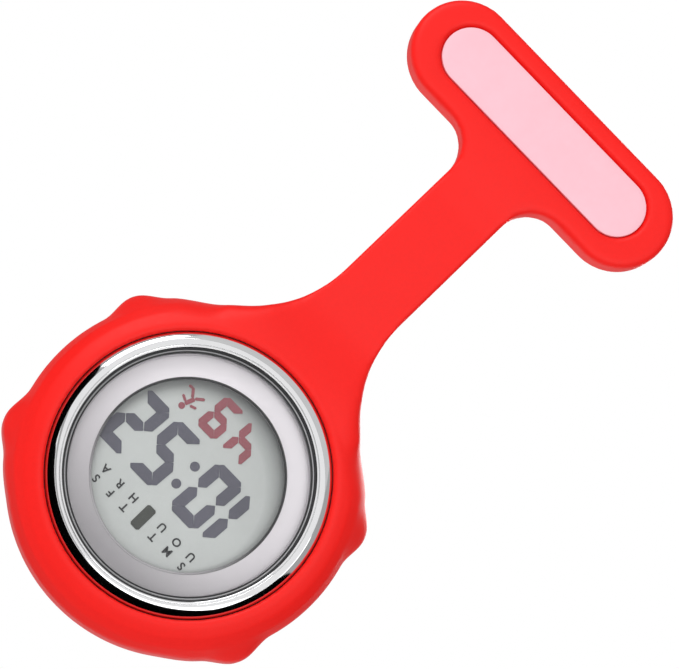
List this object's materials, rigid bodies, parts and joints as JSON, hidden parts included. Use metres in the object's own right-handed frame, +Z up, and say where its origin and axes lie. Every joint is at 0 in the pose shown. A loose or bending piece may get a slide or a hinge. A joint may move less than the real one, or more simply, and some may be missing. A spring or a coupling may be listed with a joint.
{
  "type": "fob watch",
  "caption": "Digital fob watch in a soft silicone holder: a round case in a cup, a short strap and a T-shaped pad with a label and a brooch pin on its back.",
  "frame": {"origin": "middle of the brooch needle, which carries the watch when it is worn", "axes": "+Z up along the strap as the watch hangs, -Y out of the face towards the viewer, +Y towards the wearer, +X to the viewer's right and along the needle"},
  "size_m": [0.0412, 0.0123, 0.0855],
  "materials": {
    "silicone": "satin moulded red silicone",
    "label": "pale pink satin plastic",
    "nickel": "nickel plate",
    "needle_steel": "drawn and ground steel",
    "chrome": "polished chrome plate",
    "case_plastic": "moulded dark plastic",
    "glass": "clear and polished",
    "black_rubber": "matt black",
    "nylon": "pale moulded nylon",
    "silver_ring": "satin lilac-silver",
    "steel": "satin stainless steel",
    "lcd_film": "polarising film",
    "lcd_reflector": "grey-green reflective film",
    "module_plastic": "moulded white plastic",
    "board": "green solder mask",
    "epoxy": "black potting",
    "ceramic": "fired ceramic",
    "lamp": "clear cast resin",
    "spring_steel": "bright spring steel"
  },
  "bodies": {
    "brooch": {"silicone_brooch_pad": "silicone", "label_insert": "label", "pin_bar": "nickel", "hinge_rivet": "nickel", "catch_housing": "nickel"},
    "needle": {"pin_needle": "needle_steel"},
    "sleeve": {"safety_sleeve": "nickel"},
    "watch": {"silicone_watch_pouch": "silicone", "case_middle": "case_plastic", "bezel": "chrome", "crystal": "glass", "crystal_gasket": "nylon", "display_ring": "silver_ring", "case_back_gasket": "black_rubber", "case_back": "steel", "lcd_front_filter": "lcd_film", "lcd_front_glass": "glass", "lcd_rear_glass": "glass", "lcd_reflector": "lcd_reflector", "zebra_strip_upper": "black_rubber", "zebra_strip_lower": "black_rubber", "module_frame": "module_plastic", "circuit_board": "board", "chip_blob": "epoxy", "quartz_can": "nickel", "capacitor_1": "ceramic", "capacitor_2": "ceramic", "backlight_lamp": "lamp", "battery": "steel", "battery_contact": "spring_steel", "battery_cage": "module_plastic", "battery_clip": "spring_steel", "module_screw_1": "steel", "module_screw_2": "steel", "button_spring_1": "spring_steel", "button_spring_2": "spring_steel", "button_spring_3": "spring_steel", "button_spring_4": "spring_steel", "contact_finger_1": "spring_steel", "contact_finger_2": "spring_steel", "contact_finger_3": "spring_steel", "contact_finger_4": "spring_steel"},
    "button_1": {"button_1": "chrome", "button_circlip_1": "spring_steel", "button_seal_1": "black_rubber"},
    "button_2": {"button_2": "chrome", "button_circlip_2": "spring_steel", "button_seal_2": "black_rubber"},
    "button_3": {"button_3": "chrome", "button_circlip_3": "spring_steel", "button_seal_3": "black_rubber"},
    "button_4": {"button_4": "chrome", "button_circlip_4": "spring_steel", "button_seal_4": "black_rubber"}
  },
  "joints": [
    {"name": "strap_flex", "type": "hinge", "parent": "brooch", "child": "watch", "pos_m": [0, -0.00625, -0.0197], "axis": [-1, 0, 0], "range_deg": [-40, 90], "stiffness_Nm_per_rad": 0.0023},
    {"name": "needle_swing", "type": "hinge", "parent": "brooch", "child": "needle", "pos_m": [0.0145, 0, 0], "axis": [0, 0, -1], "range_deg": [0, 100]},
    {"name": "safety_sleeve_turn", "type": "hinge", "parent": "brooch", "child": "sleeve", "pos_m": [-0.0135, 0, 0], "axis": [1, 0, 0], "range_deg": [0, 120]},
    {"name": "button_1_press", "type": "slide", "parent": "watch", "child": "button_1", "axis": [-0.887, 0, -0.4617], "range_m": [0, 0.0005], "stiffness_N_per_m": 1000, "deforming": ["button_spring_1", "contact_finger_1"]},
    {"name": "button_2_press", "type": "slide", "parent": "watch", "child": "button_2", "axis": [0.887, 0, -0.4617], "range_m": [0, 0.0005], "stiffness_N_per_m": 1000, "deforming": ["button_spring_2", "contact_finger_2"]},
    {"name": "button_3_press", "type": "slide", "parent": "watch", "child": "button_3", "axis": [0.887, 0, 0.4617], "range_m": [0, 0.0005], "stiffness_N_per_m": 1000, "deforming": ["button_spring_3", "contact_finger_3"]},
    {"name": "button_4_press", "type": "slide", "parent": "watch", "child": "button_4", "axis": [-0.887, 0, 0.4617], "range_m": [0, 0.0005], "stiffness_N_per_m": 1000, "deforming": ["button_spring_4", "contact_finger_4"]}
  ]
}
